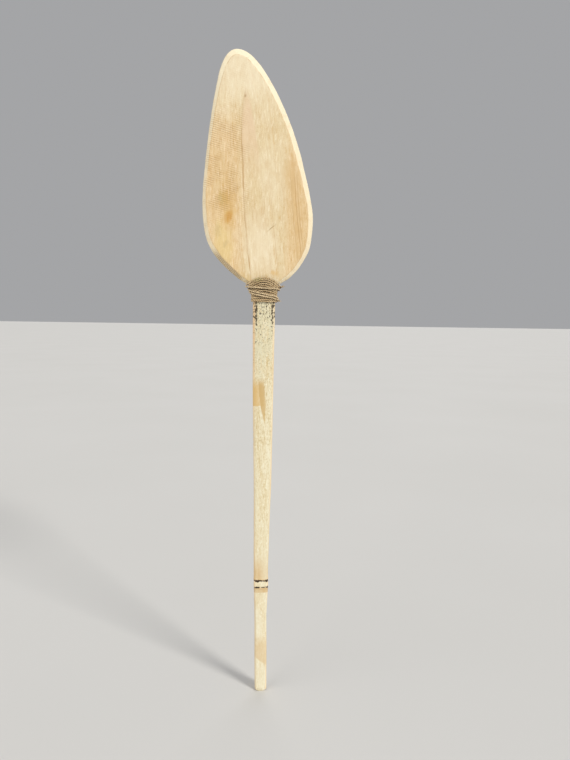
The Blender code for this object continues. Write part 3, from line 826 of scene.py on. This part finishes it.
def wandering(places, points, outwards, seed):
    """The route with the small unevenness of a hand lashing."""
    at = np.stack((places, np.full_like(places, seed), np.zeros_like(places)), axis=1)
    slow = noise_at(at, (0.09, 1.0, 1.0))
    quick = noise_at(at, (0.30, 1.0, 1.0), 4.4)
    lifted = noise_at(at, (0.13, 1.0, 1.0), 8.8)
    points = points.copy()
    points[:, 2] += 0.42 * slow + 0.12 * quick
    points += outwards * (0.16 * lifted + 0.05)[:, None]
    return points


def ply_mesh_data(places, points, outwards, turn, seed):
    """One twisted ply round a route: its vertices, faces and fibre coordinates."""
    tangents = along(points)
    outwards = unit(outwards - tangents * np.sum(outwards * tangents, axis=1)[:, None])
    sideways = np.cross(tangents, outwards)
    at = np.stack((places, np.full_like(places, seed), np.zeros_like(places)), axis=1)
    angle = math.tau * places / PLY_LAY + turn + 0.5 * noise_at(at, (0.06, 1.0, 1.0), 2.0)
    swelling = 1 + 0.10 * noise_at(at, (0.25, 1.0, 1.0), 6.0) + 0.05 * noise_at(at, (0.8, 1.0, 1.0), 9.0)
    radial = outwards * np.cos(angle)[:, None] + sideways * np.sin(angle)[:, None]
    centres = points + radial * PLY_OFFSET
    tangents = along(centres)
    radial = unit(radial - tangents * np.sum(radial * tangents, axis=1)[:, None])
    across = np.cross(tangents, radial)
    vertices, strands, facing = [], [], []
    for side in range(PLY_SIDES):
        turned = math.tau * side / PLY_SIDES
        ring = radial * math.cos(turned) + across * math.sin(turned)
        on_side = np.stack((places, np.full_like(places, side), places), axis=1)
        rough = 1 + 0.07 * noise_at(on_side, (0.9, 2.3, 0.0), seed)
        vertices.append(centres + ring * (PLY_RADIUS * swelling * rough)[:, None])
        twist = turned + places * 0.9
        strands.append(np.stack((np.cos(twist), np.sin(twist), places + 40 * seed), axis=1))
        # How far each vertex stands out from the twine's centre line, which the jute turns into painted
        # shade.
        height = np.sum((vertices[-1] - points) * outwards, axis=1)
        facing.append(0.5 + 0.5 * height / TWINE_RADIUS)
    vertices = np.stack(vertices, axis=1).reshape(-1, 3)
    strands = np.stack(strands, axis=1).reshape(-1, 3)
    facing = np.stack(facing, axis=1).ravel()
    return vertices, tube_faces(len(places), PLY_SIDES), strands, facing


def tube_faces(rings, sides):
    """Faces of a closed tube of rings, each of them sides vertices long."""
    faces = []
    for ring in range(rings - 1):
        for side in range(sides):
            following = (side + 1) % sides
            low, high = ring * sides, (ring + 1) * sides
            faces.append((low + side, low + following, high + following, high + side))
    faces.append(tuple(reversed(range(sides))))
    faces.append(tuple(range((rings - 1) * sides, rings * sides)))
    return faces


def twine_parts(route, seed):
    places, points, outwards = evened(*route)
    points = wandering(places, points, outwards, seed)
    plies = [ply_mesh_data(places, points, outwards, turn, seed + turn) for turn in (0.0, math.pi)]
    return plies, (points, outwards)


def hair(chance, root, direction, length, radius):
    """One bent fibre as a thin closed tube."""
    bend = Vector([chance.uniform(-1, 1) for _ in range(3)]) * length * 0.35
    steps = 5
    points = []
    for step in range(steps + 1):
        share = step / steps
        points.append(root + direction * length * share + bend * share**2)
    centres = np.array(points)
    tangents = along(centres)
    side = unit(np.cross(tangents, np.array((0.31, 0.17, 0.93))))
    other = np.cross(tangents, side)
    vertices = []
    for turned in (0, math.tau / 3, 2 * math.tau / 3):
        ring = side * math.cos(turned) + other * math.sin(turned)
        thinning = np.linspace(1, 0.45, steps + 1)[:, None]
        vertices.append(centres + ring * radius * thinning)
    vertices = np.stack(vertices, axis=1).reshape(-1, 3)
    strands = np.full((len(vertices), 3), chance.uniform(0, 50))
    return vertices, tube_faces(steps + 1, 3), strands, np.ones(len(vertices))


def fuzz_parts(routes):
    """Loose fibres that stand off the twine, and brushes of them at its free ends."""
    chance = random.Random(7)
    hairs = []
    for points, outwards in routes:
        tangents = along(points)
        for _ in range(int(len(points) * TWINE_STEP * HAIRS_PER_MILLIMETRE)):
            at = chance.randrange(len(points))
            tangent, out = Vector(tangents[at]), Vector(outwards[at]).normalized()
            sideways = tangent.cross(out)
            turned = chance.uniform(-1.9, 1.9)
            away = out * math.cos(turned) + sideways * math.sin(turned)
            root = Vector(points[at]) + away * TWINE_RADIUS * 0.8
            lean = chance.choice((-1, 1)) * chance.uniform(0.6, 1.8)
            direction = (away * chance.uniform(0.15, 0.8) + tangent * lean).normalized()
            length = chance.uniform(0.8, 2.6) if chance.random() < 0.85 else chance.uniform(2.5, 4.5)
            hairs.append(hair(chance, root, direction, length, chance.uniform(0.03, 0.055)))
    points, outwards = routes[-1]
    for end, inner in ((0, 4), (-1, -5)):
        direction = Vector(points[end] - points[inner]).normalized()
        for _ in range(HAIRS_PER_FREE_END):
            spread = Vector([chance.uniform(-1, 1) for _ in range(3)])
            root = Vector(points[end]) - direction * 0.8 + spread * 0.55
            leaving = (direction + spread * 0.42).normalized()
            hairs.append(hair(chance, root, leaving, chance.uniform(1.4, 3.6), 0.06))
    return hairs


def make_lashing():
    heights = [BASE_FIRST_TURN + TURN_PITCH / 2 * half for half in range(BASE_HALF_TURNS + 1)]
    base, base_route = twine_parts(winding_route(heights, 0), 1.0)
    route = winding_route(CROSS_SIDE_HEIGHTS, 1)
    route = with_tail(*route, LOWER_TAIL, at_start=True)
    route = with_tail(*route, UPPER_TAIL, at_start=False)
    cross, cross_route = twine_parts(route, 5.0)

    # Each row: name, plies, the model's piece that it replaces, and how much paler its jute is painted; for
    # the crossed turns lying on top, that paleness is a painted highlight.
    lashing = (
        ("base_turns", base, "twine_base_winding", 0.0),
        ("crossed_turns", cross, "twine_cross_winding", 0.4),
    )
    for name, plies, node, paler in lashing:
        mesh = twine_mesh(name, plies)
        mesh.materials.append(twine_look("jute_of_" + name, paler))
        add_piece(name, mesh, [node])
    mesh = twine_mesh("loose_fibres", fuzz_parts((base_route, cross_route)))
    mesh.materials.append(twine_look("jute_fibre", 0.35))
    add_piece("loose_fibres", mesh)


# ================================================================ stage


def make_stage():
    corners = [(x * FLOOR_HALF, y * FLOOR_HALF, 0) for x, y in ((-1, -1), (1, -1), (1, 1), (-1, 1))]
    mesh = bpy.data.meshes.new("floor")
    mesh.from_pydata(corners, [], [(0, 1, 2, 3)])
    mesh.materials.append(floor_look())
    floor = bpy.data.objects.new("floor", mesh)
    bpy.context.scene.collection.objects.link(floor)

    world = bpy.data.worlds.new("soft_room")
    world.use_nodes = True
    background = world.node_tree.nodes["Background"]
    background.inputs["Color"].default_value = (0.60, 0.605, 0.62, 1)
    background.inputs["Strength"].default_value = 0.62
    bpy.context.scene.world = world

    # (name, direction that the light comes from, softness in degrees, strength, colour)
    lamps = (
        ("key", (0.62, -0.62, 0.60), 14.0, 2.3, (1.0, 0.975, 0.925)),
        ("fill", (-0.80, -0.50, 0.45), 50.0, 1.0, (1.0, 0.95, 0.85)),
        ("rim", (0.20, 0.85, 0.60), 50.0, 0.7, (0.97, 0.98, 1.0)),
    )
    for name, source, softness, strength, colour in lamps:
        light = bpy.data.lights.new(name, "SUN")
        light.angle = math.radians(softness)
        light.energy = strength
        light.color = colour
        lamp = bpy.data.objects.new(name, light)
        lamp.location = Vector(source) * 2
        lamp.rotation_euler = Vector(source).to_track_quat("Z", "Y").to_euler()
        bpy.context.scene.collection.objects.link(lamp)


def make_camera():
    """Half a metre up and 0.7 m in front, turned slightly and looking slightly down."""
    camera = bpy.data.cameras.new("camera")
    camera.sensor_width = 36
    camera.lens = 27.05
    camera.clip_start = 0.01
    viewer = bpy.data.objects.new("camera", camera)
    viewer.rotation_euler = [math.radians(turn) for turn in (84.17, -0.82, -4.59)]
    viewer.location = (-0.0306, -0.7076, 0.4819)
    bpy.context.scene.collection.objects.link(viewer)
    bpy.context.scene.camera = viewer
    bpy.context.scene.view_settings.view_transform = "Standard"
    bpy.context.scene.view_settings.look = "None"


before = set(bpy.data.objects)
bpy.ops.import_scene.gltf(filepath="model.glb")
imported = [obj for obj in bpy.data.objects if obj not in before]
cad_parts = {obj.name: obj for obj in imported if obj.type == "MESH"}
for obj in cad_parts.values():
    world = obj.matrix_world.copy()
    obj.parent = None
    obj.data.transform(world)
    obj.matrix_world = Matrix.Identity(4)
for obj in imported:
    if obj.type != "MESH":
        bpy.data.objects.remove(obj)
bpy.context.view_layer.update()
make_blade(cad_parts["blade"])
make_handle(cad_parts["bamboo_handle"])
make_lashing()
pin = peg_look()
for peg_name in ("peg_lower", "peg_upper"):
    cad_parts[peg_name].material_slots[0].material = pin
make_stage()
make_camera()
